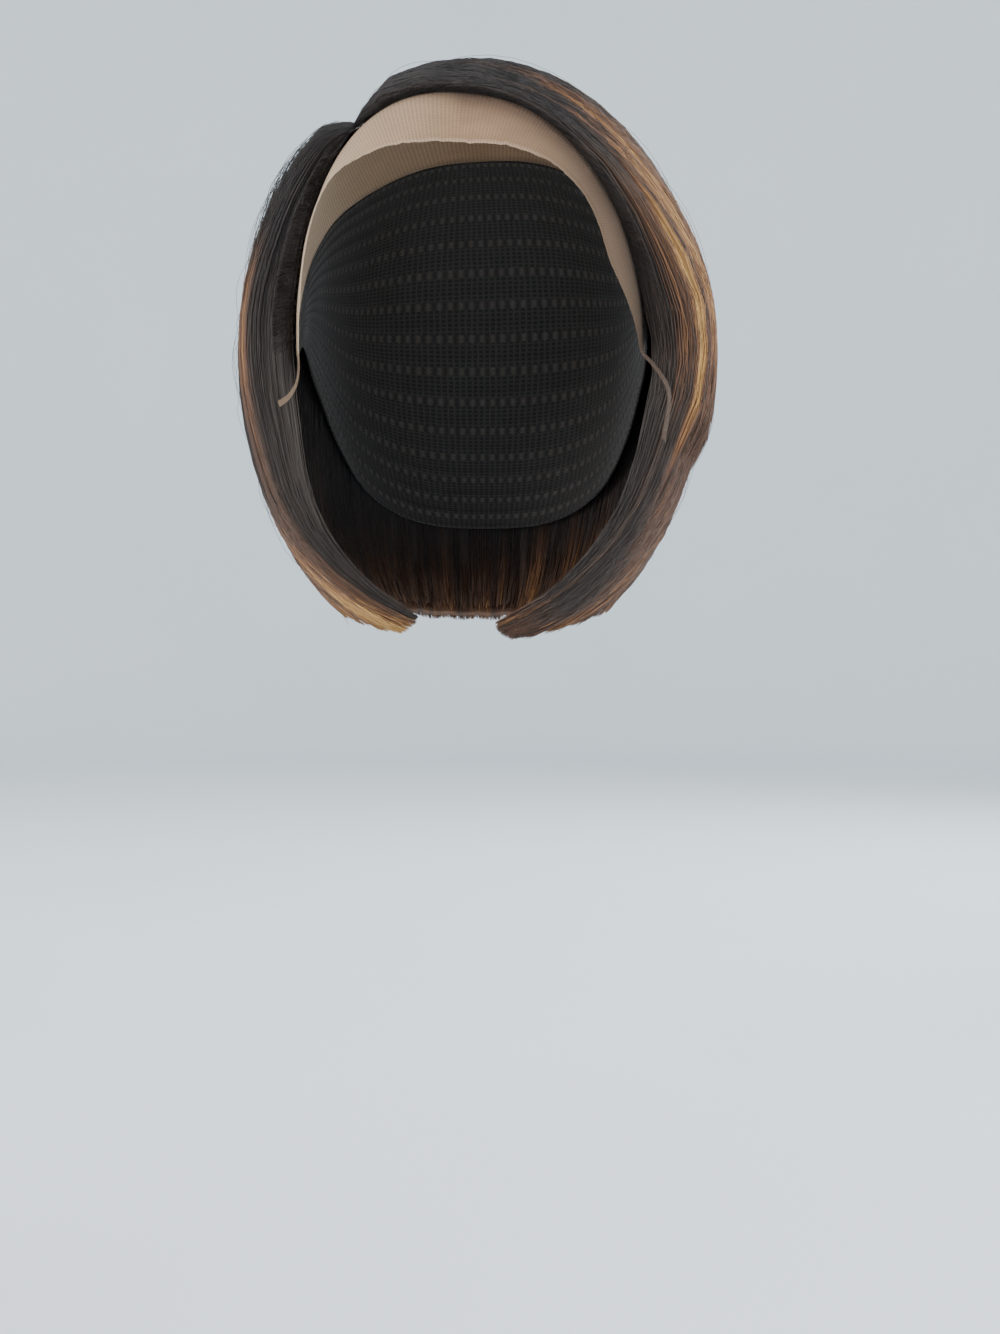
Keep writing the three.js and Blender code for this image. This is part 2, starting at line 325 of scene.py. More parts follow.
lace = closed_wall(
    "lace_net",
    LACE_COLUMNS,
    LACE_ROWS,
    lace_sheet(LACE_STANDS_OFF + LACE_THICKNESS),
    lace_sheet(LACE_STANDS_OFF),
    {"to_hairline": to_hairline},
)
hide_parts("lace_front")

net = Finish("tinted_lace", roughness=0.85, specular_ior_level=0.25, sheen_weight=0.06, sheen_roughness=0.5)
threads = net.netting(430, 120, 0.25)
hole = net.mask(threads, (0.1, 0), (0.3, 1))
cloudy = net.noise(net.run(14, 5), 3, 3)
tan = net.mix(cloudy, (0.235, 0.143, 0.08), (0.365, 0.23, 0.138))
across = net.node("ShaderNodeSeparateXYZ", {}, {0: net.run(1, 1)}, 0)
down = net.node("ShaderNodeSeparateXYZ", {}, {0: net.run(1, 1)}, 1)
pale = net.mask(down, (0.0, 1), (0.018, 0))
tan = net.mix(pale * 0.55, tan, (0.6, 0.43, 0.31))
# The left of the lace lies in the light: it is painted lighter there, and the hair's painted shadow by the
# hairline is kept narrower and fainter.
lit_left = net.mask(across, (0.5, 0), (0.58, 1))
# Darker towards the hairline: partly the roots seen through the net, partly the hair's shadow painted onto
# the lace.
reach = net.attribute("to_hairline") * (lit_left * 150 + 36)
rooted = net.mask(reach, (0.0, 1), (0.28, 0.8), (0.52, 0.35), (0.9, 0))
tan = net.mix(rooted * (cloudy * 0.3 + 0.8) * (1 - lit_left * 0.75), tan, (0.055, 0.031, 0.02))
tan = net.mix(lit_left * 0.6, tan, (0.54, 0.39, 0.26))
# A painted highlight where the light grazes the lace at the far left.
far_left_highlight = net.mask(across, (0.58, 0), (0.63, 1), (0.71, 1), (0.75, 0))
tan = net.mix(far_left_highlight * 0.55, tan, (0.74, 0.56, 0.4))
# Painted shade: the right of the lace, away from the light and beside the hair, is coloured dark brown.
shaded_right = net.mask(across, (0.37, 1), (0.48, 0))
tan = net.mix(shaded_right * 0.72, tan, (0.075, 0.05, 0.033))
sheer = net.mask(across, (0.2, 1), (0.27, 0), (0.74, 0), (0.8, 1))
tan = net.mix(sheer * 0.65, tan, (0.085, 0.055, 0.04))
net.shade(
    base_color=net.mix(hole * 0.25, tan, (0.2, 0.12, 0.08)),
    alpha=1 - hole * (sheer * 0.6 + 0.25),
    normal=net.bump(threads + cloudy * 0.5, 0.35, 0.0004),
)
lace.data.materials.append(net.material)

# WEFTED CAP
# The cap behind the lace is a black stretch net. Long wefts of hair are sewn to it in rows round its
# back, and each row shows inside as a raised, stitched tape.

CAP_STANDS_OFF = 0.0005
CAP_THICKNESS = 0.0006
WEFT_PITCH = 0.0115
WEFT_RIDGE = 0.00045
# at, azimuth and elevation of the cap's lower edge
CAP_EDGE = [
    ("right ear front", (-15, -1)),
    ("right ear top", (2, 4)),
    ("right ear back", (22, -8)),
    ("right nape", (52, -33)),
    ("nape", (90, -38)),
    ("left nape", (128, -33)),
    ("left ear back", (158, -8)),
    ("left ear top", (178, 4)),
    ("left ear front", (-167, -1)),
]
CAP_DEPTH = 0.175
CAP_COLUMNS, CAP_ROWS = 72, 116
SEAM_GAP = 0.0008
WEFT_ROWS = round(CAP_DEPTH / WEFT_PITCH)


def cap_sheet(off, ridge):
    rear = line_on_hollow([row[2] for row in LACE], [0] * len(LACE))
    tabs = [i / (len(LACE) - 1) for i, row in enumerate(LACE) if "ear tab" in row[0]]
    seam = through(rear, np.linspace(*tabs, 61))
    edge = line_on_hollow([row[1] for row in CAP_EDGE], [0] * len(CAP_EDGE))
    edge = through(edge, np.linspace(0, 1, 61))

    def place(s, t):
        start = SEAM_GAP / np.linalg.norm(through(edge, s) - through(seam, s), axis=-1)
        t = start + (1 - start) * t
        rows = np.cos(2 * np.pi * t * WEFT_ROWS) * 0.5 + 0.5
        return panel_points(seam, edge, s, t, off - ridge * smooth(rows, 0.75, 0.95))

    return place


cap = closed_wall(
    "cap_net",
    CAP_COLUMNS,
    CAP_ROWS,
    cap_sheet(CAP_STANDS_OFF + CAP_THICKNESS, 0),
    cap_sheet(CAP_STANDS_OFF, WEFT_RIDGE),
)
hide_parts("wefted_cap")

stretch = Finish("black_stretch_net", roughness=0.8, sheen_weight=0.2, sheen_roughness=0.4)
mesh_holes = stretch.mask(stretch.netting(190, 110, 0.15), (0.08, 0), (0.28, 1))
ONE_WAVE = 0.31416  # the scale at which a wave repeats once for each unit of its run
tape = stretch.node(
    "ShaderNodeTexWave",
    {"bands_direction": "Y", "wave_profile": "SIN"},
    {"Vector": stretch.run(1, WEFT_ROWS), "Scale": ONE_WAVE, "Phase Offset": math.pi / 2},
)
tape = stretch.mask(tape, (0.8, 0), (0.92, 1))
stitches = {"Vector": stretch.run(110, 1), "Scale": ONE_WAVE}
stitches = stretch.node("ShaderNodeTexWave", {"bands_direction": "X"}, stitches)
plain = stretch.mix(mesh_holes, (0.035, 0.03, 0.027), (0.006, 0.005, 0.005))
taped = stretch.mix(stitches, (0.014, 0.011, 0.01), (0.06, 0.05, 0.044))
stretch.shade(
    base_color=stretch.mix(tape, plain, taped),
    normal=stretch.bump(tape * stitches * 0.7 - mesh_holes * 0.3, 0.5, 0.0006),
)
cap.data.materials.append(stretch.material)

# HAIR
# Straight fibre, off-black at the roots, with copper and golden locks that start half-way down and
# take over towards the tips. It is sewn in rows, combed over from the parting and curled in at the
# hem. Each side has a dense body of hair and, over and inside it, loose strands.

VOLUME = {"left": 0.028, "right": 0.027, "front": 0.004, "back": 0.013, "up": 0.014}
CHIN_REACH = 0.038
NAPE_REACH = 0.012
HAIR_DROP = 0.139
LAYER_THICKNESS = 0.0045
# the top layer, in degrees: where it fades in and out, turns soft, and ends, sharp or as a slope
LAYER = {
    "front": (-34, -8),
    "back": (70, 110),
    "top": (8, 46),
    "soft": (4, 46),
    "step": (-19, -16),
    "slope": (-48, -20),
}
STEP_AT = -17.5
LAYER_HANGS_ON = 13.0
HAIR_STANDS_OFF = 0.0019
EDGE_THICKNESS = 0.0022
SIDE_THICKNESS = 0.02
HEM_THICKNESS = 0.009
EDGE_ROLL = 0.014
CURL_IN = (20, 60)  # degrees below the middle, from where the hair turns in to where it has turned
PARTING_WIDTH = 0.0026
LIFT = {"right": 0.024, "left": 0.013, "crown": 0.008}
CROWN_FADE = 0.055
LOCK_RELIEF = 0.0012
BACK_FROM, BACK_TO = 0.38, 0.66
# wall, from and to as shares round the guide locks, ridges across it
WALLS = {
    "heavy_side": ("heavy_side_hair", 0.0, BACK_FROM, 9),
    "back": ("back_hair", BACK_FROM, BACK_TO, 7),
    "light_side": ("light_side_hair", BACK_TO, 1.0, 7),
}


def hair_form(d, hanging=0.0):
    """The outer form along each direction. Hanging, in degrees, carries the top layer on past its step."""
    azimuth = np.degrees(np.arctan2(d[..., 1], d[..., 0]))
    elevation = np.degrees(np.arcsin(np.clip(d[..., 2], -1, 1)))
    low = smooth(-elevation, *CURL_IN)
    reach = {side: HOLLOW[side] + extra for side, extra in VOLUME.items()}
    reach["front"] = reach["front"] + CHIN_REACH * low
    reach["back"] = reach["back"] + NAPE_REACH * low
    reach["down"] = HAIR_DROP
    layer = smooth(azimuth, *LAYER["front"]) * (1 - smooth(azimuth, *LAYER["back"]))
    layer = layer * (1 - smooth(elevation, *LAYER["top"]))
    soft = smooth(azimuth, *LAYER["soft"])
    end, full = (step + (slope - step) * soft for step, slope in zip(LAYER["step"], LAYER["slope"]))
    layer = layer * smooth(elevation, end - hanging, full - hanging * 0.2)
    return super_radius(d, reach, 2) + LAYER_THICKNESS * layer


form = hair_form(FLOW)
on_cap = hollow_radius(FLOW) + HAIR_STANDS_OFF
ridges = np.zeros(len(ROUNDS))
for node, first, last, ridge_count in WALLS.values():
    here = (ROUNDS >= first) & (ROUNDS <= last)
    ridges[here] = np.abs(np.sin(np.pi * ridge_count * (ROUNDS[here] - first) / (last - first))) ** 0.8
thickness = SIDE_THICKNESS + (HEM_THICKNESS - SIDE_THICKNESS) * smooth(ALONGS, 0.45, 1)
INNER = np.maximum(on_cap, form - thickness)
lift = LIFT["right"] + (LIFT["left"] - LIFT["right"]) * smooth(ROUNDS, BACK_FROM, BACK_TO)
to_crown = np.linalg.norm(FLOW[:, 0] - PARTING[1], axis=1) * HOLLOW["up"]
lift = LIFT["crown"] + (lift - LIFT["crown"]) * smooth(to_crown, 0, CROWN_FADE)
risen = smooth(ALONGS[None] * lock_length[:, None] / lift[:, None], 0, 1)
full = on_cap + EDGE_THICKNESS + (form - on_cap - EDGE_THICKNESS) * risen
full -= LOCK_RELIEF * (1 - ridges[:, None]) * risen * smooth(ALONGS, 0.03, 0.3)
to_edge = np.minimum(*(np.linalg.norm(FLOW - FLOW[i], axis=2) for i in (0, -1))) * form
roll = np.sqrt(1 - (1 - np.minimum(1, to_edge / EDGE_ROLL)) ** 2)
OUTER = INNER + np.maximum(EDGE_THICKNESS, EDGE_THICKNESS + (full - INNER - EDGE_THICKNESS) * roll)
HUNG = OUTER + (hair_form(FLOW, LAYER_HANGS_ON) - form) * roll
step_at = ALONGS[np.argmax(FLOW[..., 2] < math.sin(math.radians(STEP_AT)), axis=1)]
STARTS = PARTING_WIDTH / 2 / lock_length


def at(table, u, t):
    """A value of a table of the run, between its rows and columns."""
    x = np.clip(u, 0, 1) * (len(ROUNDS) - 1)
    y = np.clip(t, 0, 1) * (len(ALONGS) - 1)
    i, j = np.minimum(x.astype(int), len(ROUNDS) - 2), np.minimum(y.astype(int), len(ALONGS) - 2)
    a, b = x - i, y - j
    if table.ndim == 3:
        a, b = a[..., None], b[..., None]
    top = table[i, j] * (1 - b) + table[i, j + 1] * b
    low = table[i + 1, j] * (1 - b) + table[i + 1, j + 1] * b
    return top * (1 - a) + low * a


def from_edge(root):
    """How far round from the nearer front edge."""
    return np.minimum(root, 1 - root)


FRONT_PULL = 0.35


def combed(root, t):
    """Where a strand that is rooted at this share round the wig has come to: the front locks are
    combed in towards the tips of the bob."""
    aside = from_edge(root)
    pull = FRONT_PULL * (1 - smooth(aside, 0.1, 0.31))
    swept = aside * pull / (aside + pull + 1e-9) * smooth(t, 0.66, 1.02) ** 1.7
    return root + np.where(root < 0.5, -swept, swept)


def rooted_at(u, t):
    """Where the strand is rooted that has come to this share round the wig: combed, undone."""
    root = u
    for again in range(25):
        root = np.clip(u - (combed(root, t) - root), 0, 1)
    return root


# name of the lock, middle and half width round the wig, start along it, strength there and at its tip
# On the front of the heavy side the locks fall darker towards their tips: painted shade on the lower right.
# The dark by the lace is lifted a little off black for a painted grey sheen.
FRONT_LOCKS = [
    ("dark by the lace", 0.0, 0.011, 0.0, 0.08, 0.16),
    ("brown by the lace", 0.023, 0.012, 0.35, 0.5, 0.24),
    ("gold streak", 0.046, 0.017, 0.42, 1.0, 0.32),
    ("copper behind it", 0.082, 0.024, 0.3, 0.6, 0.36),
    ("gold over the ear tab", 0.112, 0.034, 0.3, 0.84, 0.4),
    ("dark behind it", 0.118, 0.008, 0.5, 0.42, 0.28),
    ("copper at the side", 0.16, 0.032, 0.27, 0.56, 0.4),
    ("copper left rim", 0.942, 0.036, 0.26, 0.5, 0.3),
    ("copper left ends", 0.88, 0.115, 0.86, 0.46, 0.46),
    ("gold left tips", 0.875, 0.11, 0.94, 1.0, 1.0),
    ("dark by the left lace", 1.0, 0.032, 0.0, 0.06, 0.1),
]
UNDERSIDE_SHADE = 0.62
DEEP_SHADE = 0.85
DEEP_FROM, DEEP_TO = 0.004, 0.012
# how many times each of these slow changes goes round the wig
LOCKS, WIDE_LOCKS, UNEVEN_STARTS, FINE_LOCKS = 46, 17, 31, 173
LOOSE_LOCKS = 170
rng = np.random.default_rng(11)
weave = {count: rng.uniform(0, 1, count + 2) for count in (LOCKS, WIDE_LOCKS, UNEVEN_STARTS, FINE_LOCKS)}


def woven(u, count):
    """A value from 0 to 1, which changes slowly from lock to lock."""
    return np.interp(u * count + 0.5, np.arange(count + 2), weave[count])


def warmth(root, t, deep, pick=0.5):
    """How far the colour has gone from off-black, 0, to gold, 1. Hair deep inside stays dark, and
    pick, from 0 to 1, says how ready a strand is to be a light one."""
    ground = 0.04 + 0.12 * smooth(t, 0.25, 0.6) + 0.3 * smooth(t, 0.66, 0.98)
    wish = 0.6 * woven(root, LOCKS) + 0.4 * woven(root, WIDE_LOCKS) + 0.55 * (pick - 0.5)
    start = 0.26 + 0.2 * woven(root, UNEVEN_STARTS) + 0.1 * pick
    light = smooth(wish, 0.42, 0.72) * smooth(t, start, start + 0.2)
    light = light * (0.34 + 0.5 * woven(root, WIDE_LOCKS))
    tone = np.maximum(ground, light + 0.3 * ground) * (0.65 + 0.6 * woven(root, FINE_LOCKS))
    for name, middle, half, begins, strength, at_tip in FRONT_LOCKS:
        beside = 1 - smooth(np.abs(root - middle) + 0.008 * (0.5 - pick), half * 0.4, half * 1.1)
        wanted = strength + (at_tip - strength) * smooth(t, begins + 0.2, begins + 0.42)
        later = begins + 0.13 * (woven(root, LOCKS) - 0.5)
        later = later + 0.1 * (0.5 - pick) * smooth(root, 0.05, 0.12)
        tone = tone + (wanted - tone) * beside * smooth(t, later - 0.1, later + 0.1)
    tone = tone * (0.85 + 0.3 * woven(root, FINE_LOCKS))
    # Where the front curls under, the colour is darkened by UNDERSIDE_SHADE: partly painted shade, partly the
    # darker under-layer.
    curl = smooth(t, 0.8, 1)
    under = 1 - smooth(combed(root, t), 0.01 + 0.03 * curl, 0.06 + 0.12 * curl)
    under = under * smooth(t, 0.6, 0.76) * (1 - smooth(t, 0.93, 0.985))
    buried = smooth(deep, DEEP_FROM, DEEP_TO) * (1 - 0.55 * smooth(t, 0.82, 1))
    return tone * (1 - UNDERSIDE_SHADE * under) * (1 - DEEP_SHADE * buried)


# tone, colour: off-black, dark brown, brown, copper, gold
HAIR_COLOURS = [
    (0.0, (0.0165, 0.0172, 0.0198)),
    (0.2, (0.042, 0.028, 0.0225)),
    (0.45, (0.12, 0.058, 0.036)),
    (0.72, (0.27, 0.128, 0.052)),
    (1.0, (0.54, 0.31, 0.105)),
]


def hair_finish(name, streaks):
    """Hair, with its fine streaks in the material for the dense bodies and none for the strands."""
    finish = Finish(name, roughness=0.45, specular_ior_level=0.4, specular_tint=(1, 0.92, 0.84, 1))
    tone = finish.attribute("tone")
    if streaks:
        fine = finish.noise(finish.run(1500, 5), 1, 2)
        coarse = finish.noise(finish.run(260, 2), 1, 2)
        tone = tone * (fine * 1.1 + 0.4) + (coarse - 0.5) * 0.12
    else:
        where = finish.node("ShaderNodeTexCoord", {}, {}, "Object")
        tone = tone + (finish.noise(where, 90, 1) - 0.5) * 0.08
    colour = finish.ramp(tone, HAIR_COLOURS)
    if streaks:
        colour = finish.mix(1, colour, finish.mask(fine, (0.3, 0.3), (0.62, 1)), "MULTIPLY")
        finish.shade(normal=finish.bump(fine, 0.6, 0.0008))
    finish.shade(base_color=colour)
    return finish.material


body_finish = hair_finish("hair_body", True)
strand_finish = hair_finish("hair_strands", False)
BODY_COLUMNS, BODY_ROWS = 260, 72  # the columns are for the whole way round
BODY_INSET = 0.0012
BODY_OFF_LINING = 0.0003
BODY_LEAST = 0.0006
SIDE_GAP = 0.0008  # between two sides, as a share of the way round
HEM_INSET = 0.002
TIP_DROP = 0.0024
STRAND_WIDTH = (0.00036, 0.0006)
LINING_WIDTH = (0.0004, 0.0007)
HEM_WIDTH = (0.0005, 0.0008)
DRIFT = 0.0005


def hair_body(name, node, first, last):
    """The dense body of one side: a closed wall just inside the loose strands, which thins to the hem."""

    def spot(s, t):
        gap = SIDE_GAP * np.sign(0.5 - s) * (np.abs(s - 0.5) > 0.499)
        u = np.clip(first + (last - first) * s + gap, 0, 1)
        start = np.interp(u, ROUNDS, STARTS)
        end = 1 - HEM_INSET - 0.045 * (1 - smooth(from_edge(u), 0, 0.06))
        return u, start + (end - start) * t

    def sheet(outward):
        def place(s, t):
            u, along = spot(s, t)
            by_parting = 1 - smooth(along, 0.02, 0.09)
            inner = at(INNER, u, along) + BODY_OFF_LINING
            outer = at(OUTER, u, along) - BODY_INSET - 0.001 * by_parting
            outer = np.maximum(outer, inner + BODY_LEAST)
            taper = (outer - inner) * smooth(t, 0.88, 1)
            radius = outer - 0.1 * taper if outward else inner + 0.55 * taper
            return CENTRE + at(FLOW, u, along) * radius[:, None]

        return place

    def tone(s, t, places):
        u, along = spot(s, t)
        deep = at(OUTER, u, along) - np.linalg.norm(places - CENTRE, axis=1)
        return warmth(rooted_at(u, along), along, deep)

    def run_of(s, t):
        u, along = spot(s, t)
        return rooted_at(u, along), along

    columns = round((last - first) * BODY_COLUMNS)
    piece = closed_wall(name, columns, BODY_ROWS, sheet(True), sheet(False), {"tone": tone}, run_of)
    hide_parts(node)
    piece.data.materials.append(body_finish)
    return piece


FLATNESS = 0.7


def tubes(name, line, outward, width, tone):
    """Strands as slim tubes, three-sided and closed, along each row of line. They are flattened
    against outward, and taper to both ends."""
    count, steps = line.shape[:2]
    along = unit(np.gradient(line, axis=1))
    beside = unit(np.cross(along, outward))
    outward = np.cross(beside, along)
    ring = np.radians([90, 210, 330])
    share = np.linspace(0, 1, steps)
    taper = (0.4 + 0.6 * smooth(share, 0, 0.12)) * (0.45 + 0.55 * (1 - smooth(share, 0.8, 1)))
    half = (np.broadcast_to(width, (count, 1)) * taper / 2)[..., None, None]
    around = np.cos(ring)[:, None] * beside[..., None, :]
    around = around + FLATNESS * np.sin(ring)[:, None] * outward[..., None, :]
    verts = line[..., None, :] + half * around
    index = np.arange(count * steps * 3).reshape(count, steps, 3)
    a, b = index[:, :-1], index[:, 1:]
    quads = np.stack([a, np.roll(a, -1, 2), np.roll(b, -1, 2), b], -1).reshape(-1)
    ends = np.concatenate([index[:, 0, ::-1].reshape(-1), index[:, -1].reshape(-1)])
    mesh = bpy.data.meshes.new(name)
    mesh.vertices.add(verts.size // 3)
    mesh.vertices.foreach_set("co", verts.reshape(-1))
    mesh.loops.add(len(quads) + len(ends))
    mesh.loops.foreach_set("vertex_index", np.concatenate([quads, ends]).astype(np.int32))
    sizes = np.concatenate([np.full(len(quads) // 4, 4), np.full(len(ends) // 3, 3)])
    mesh.polygons.add(len(sizes))
    mesh.polygons.foreach_set("loop_start", np.concatenate([[0], np.cumsum(sizes)[:-1]]).astype(np.int32))
    mesh.update(calc_edges=True)
    mesh.validate()
    mesh.shade_smooth()
    tone = np.repeat(np.clip(tone, 0, 1), 3)
    mesh.attributes.new("tone", "FLOAT", "POINT").data.foreach_set("value", tone.astype(np.float32))
    mesh.materials.append(strand_finish)
    piece = bpy.data.objects.new(name, mesh)
    bpy.context.scene.collection.objects.link(piece)
    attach(piece, "root")
    return piece


def each(count, low=0.0, high=1.0):
    """A number drawn for each of so many strands."""
    return rng.uniform(low, high, (count, 1))


def strands(name, root, t, level, width, aside=0.0, form=OUTER, drop=None):
    """Loose strands that run in the hair: root is where each starts round the wig, t how far along
    it each step is, level its radius between the wall's two sides, and drop how far its tip hangs."""
    count = len(root)
    u = combed(root, t)
    locks = np.sort(rng.uniform(0, 1, LOOSE_LOCKS))
    nearest = locks[np.argmin(np.abs(root[:, :1] - locks), axis=1)][:, None]
    u = np.clip(u + (nearest - root) * 0.35 * smooth(t, 0.3, 1), 0, 1)
    d, outer, inner = at(FLOW, u, t), at(form, u, t), at(INNER, u, t)
    radius = level(outer, inner)
    line = CENTRE + d * radius[..., None]
    beside = unit(np.cross(unit(np.gradient(line, axis=1)), d))
    line = line + beside * np.broadcast_to(aside, u.shape)[..., None]
    if drop is None:
        drop = TIP_DROP * (1 - smooth(from_edge(root), 0.1, 0.26))
    line[..., 2] -= drop * smooth(t, 0.88, 1)
    tone = warmth(root, t, outer - radius, each(count))
    tone = tone * (1 + rng.normal(0, 0.2, (count, 1))) + rng.normal(0, 0.02, (count, 1))
    return tubes(name, line, d, width, tone)


def wander(count, share, size):
    """A slow sideways drift of each strand, in metres."""
    drift = np.zeros((count, len(share)))
    for waves in (0.7, 1.6):
        swing = np.sin(2 * np.pi * (waves * share + each(count)))
        drift += swing * rng.normal(0, size / waves, (count, 1))
    return drift


def outer_strands(name, first, last, count):
    share = np.linspace(0, 1, 18)
    share = share * (1 - 0.8 * (1 - share) ** 3)
    root = each(count, max(0, first - 0.004), min(1, last + 0.004)) * np.ones(len(share))
    begin = np.interp(root[:, :1], ROUNDS, STARTS)
    later = each(count)
    begin = begin + np.where(later < 0.7, 0.003 * later, 0.8 * (later - 0.7))
    feathered = 0.01 + 0.06 * (1 - smooth(from_edge(root[:, :1]), 0.03, 0.16))
    end = 1 - feathered * each(count) ** 1.3
    t = begin + (end - begin) * share
    sunk = each(count, 0, 0.0008) + 0.0007 * (1 - smooth(share, 0, 0.02))
    by_edge = (from_edge(root[:, :1]) < 0.012) * each(count)

    def level(outer, inner):
        return outer - np.maximum(np.minimum(sunk, outer - inner), by_edge * (outer - inner) * 0.95)

    return strands(name, root, t, level, each(count, *STRAND_WIDTH), wander(count, share, DRIFT))


def layer_ends(name, first, last, count):
    """The feathered ends of the top layer, which run on past its step by different lengths."""
    share = np.linspace(0, 1, 9)
    root = each(count, first, last) * np.ones(len(share))
    end = np.interp(root[:, :1], ROUNDS, step_at) + each(count, -0.015, 0.055)
    t = end - each(count, 0.12, 0.24) * (1 - share)
    sunk = each(count, 0.0001, 0.0032) * smooth(share, 0.35, 1)
    sunk = sunk + 0.0009 * (1 - smooth(share, 0, 0.3))
    width = each(count, *STRAND_WIDTH)
    aside = wander(count, share, DRIFT)
    return strands(name, root, t, lambda outer, inner: outer - sunk, width, aside, HUNG)


def inner_strands(name, first, last, count):
    """The lining: strands that show inside, below the cap."""
    share = np.linspace(0, 1, 9)
    root = each(count, first, last) * np.ones(len(share))
    begin = each(count, 0.4, 0.66)
    t = begin + (1 - 0.05 * each(count) ** 2 - begin) * share
    risen = each(count, -0.0003, 0.001)
    width = each(count, *LINING_WIDTH)
    return strands(name, root, t, lambda outer, inner: inner + risen, width, wander(count, share, DRIFT))


def hem_strands(name, count):
    """Ends that close the hem: from within the wall down to the very edge."""
    share = np.linspace(0, 1, 6)
    root = each(count) * np.ones(len(share))
    begin = each(count, 0.8, 0.93)
    feathered = 0.01 + 0.025 * (1 - smooth(from_edge(root[:, :1]), 0.02, 0.12))
    t = begin + (1 - feathered * each(count) ** 2 - begin) * share
    depth = each(count)
    width = each(count, *HEM_WIDTH)
    aside = wander(count, share, 0.0003)
    return strands(name, root, t, lambda outer, inner: outer - (outer - inner) * depth, width, aside)


for side, (node, first, last, ridge_count) in WALLS.items():
    hair_body(f"{side}_body", node, first, last)
outer_strands("heavy_side_front_strands", 0.0, 0.14, 1650)
outer_strands("heavy_side_strands", 0.13, BACK_FROM, 1420)
outer_strands("back_strands", BACK_FROM, BACK_TO, 1350)
outer_strands("light_side_strands", BACK_TO, 1.0, 1600)
inner_strands("heavy_side_lining_strands", 0.0, BACK_FROM, 450)
inner_strands("back_lining_strands", BACK_FROM, BACK_TO, 300)
inner_strands("light_side_lining_strands", BACK_TO, 1.0, 400)
hem_strands("hem_strands", 2500)
layer_ends("layer_ends", 0.06, 0.33, 560)

# HAIRLINE AND LOOSE HAIRS
# Short fine hairs are knotted into the lace one by one ahead of the wefts, so the hairline starts
# softly. A few hairs stand off the smooth outline.

FINE_WIDTH = (0.00022, 0.00042)
STRAY_WIDTH = (0.00018, 0.0003)
WISP_WIDTH = (0.0003, 0.0006)


def hairline_hairs(name, edge, last, count):
    """Fine hairs from the lace back over the front edge, 0 for the right one and 1 for the left."""
    share = np.linspace(0, 1, 8)
    t = each(count, 0.01, last) + each(count, 0.03, 0.09) * share
    u = np.full(t.shape, float(edge))
    d = at(FLOW, u, t)
    inward = unit(np.cross(np.gradient(d, axis=1), d)) * (1 if edge else -1)
    ahead = each(count) ** 2 * 0.009 + 0.0005
    backward = share**1.3
    ahead = ahead * (1 - backward) - 0.0035 * backward
    d = unit(d * hollow_radius(d)[..., None] + inward * ahead[..., None])
    on_lace = hollow_radius(d) + LACE_STANDS_OFF + LACE_THICKNESS + 0.0002
    over = at(OUTER, np.abs(u - 0.006), t) + 0.0004
    line = CENTRE + d * (on_lace + (over - on_lace) * smooth(share, 0.3, 1))[..., None]
    tone = 0.1 + rng.normal(0, 0.05, (count, 1)) + 0.0 * t
    return tubes(name, line, d, each(count, *FINE_WIDTH), tone)


def flyaways(name, count):
    """Single hairs that stand off the outline, more of them at the left of the parting."""
    share = np.linspace(0, 1, 8)
    root = each(count) * np.ones(len(share))
    left = each(count) < 0.45
    root = np.where(left, 0.8 + 0.19 * root, root)
    begin = np.where(left, each(count, 0.02, 0.22), each(count, 0.02, 0.8))
    t = np.minimum(begin + each(count, 0.06, 0.2) * share, 1)
    stand = each(count, 0.0006, 0.0034) * np.sin(np.pi * share**0.8) ** 1.2
    aside = wander(count, share, 0.002)
    width = each(count, *STRAY_WIDTH)
    return strands(name, root, t, lambda outer, inner: outer + stand - 0.0003, width, aside)


def nape_wisps(name, middle, spread, count):
    """Longer hairs at the left of the nape, which hang out below the hem and thin out to both sides."""
    share = np.linspace(0, 1, 8)
    off = np.clip(rng.normal(0, 1, (count, 1)), -2, 2)
    root = (middle + spread * off) * np.ones(len(share))
    t = 0.84 + (0.16 - 0.02 * each(count)) * share
    depth = each(count, 0.1, 0.9)
    drop = TIP_DROP + each(count, 0, 0.0085) * (1 - (off / 2.2) ** 2)
    width = each(count, *WISP_WIDTH)
    aside = wander(count, share, 0.0012) * share

    def level(outer, inner):
        return outer - (outer - inner) * depth

    return strands(name, root, t, level, width, aside, drop=drop)


hairline_hairs("hairline_hairs_right", 0, 0.44, 420)
hairline_hairs("hairline_hairs_left", 1, 0.42, 300)
flyaways("flyaway_hairs", 220)
nape_wisps("nape_wisps", 0.68, 0.035, 90)

# SET
# A pale sweep of paper under soft daylight, with a wide window on either side and one behind. The
# camera stands a little to the right and low, level with the lower part of the wig.

FLOOR = -0.47
FLOOR_REACH = 3.2
SWEEP_BEND = 0.6
SWEEP_TOP = 1.9
POLE = 0.0001
bends = [(math.sin(a), 1 - math.cos(a)) for a in np.linspace(0, math.pi / 2, 12)]
curve = [(FLOOR_REACH + SWEEP_BEND * x, FLOOR + SWEEP_BEND * z) for x, z in bends]
curve = [(POLE, FLOOR), *curve, (FLOOR_REACH + SWEEP_BEND, SWEEP_TOP)]
bm = bmesh.new()
edge = [bm.verts.new((x, 0, z)) for x, z in curve]
for a, b in zip(edge, edge[1:]):
    bm.edges.new((a, b))
turned = {"cent": (0, 0, 0), "axis": (0, 0, 1), "angle": math.tau, "steps": 72, "use_merge": True}
bmesh.ops.spin(bm, geom=bm.verts[:] + bm.edges[:], **turned)
bmesh.ops.recalc_face_normals(bm, faces=bm.faces)
bmesh.ops.reverse_faces(bm, faces=bm.faces)
sweep_mesh = bpy.data.meshes.new("paper_sweep")
bm.to_mesh(sweep_mesh)
bm.free()
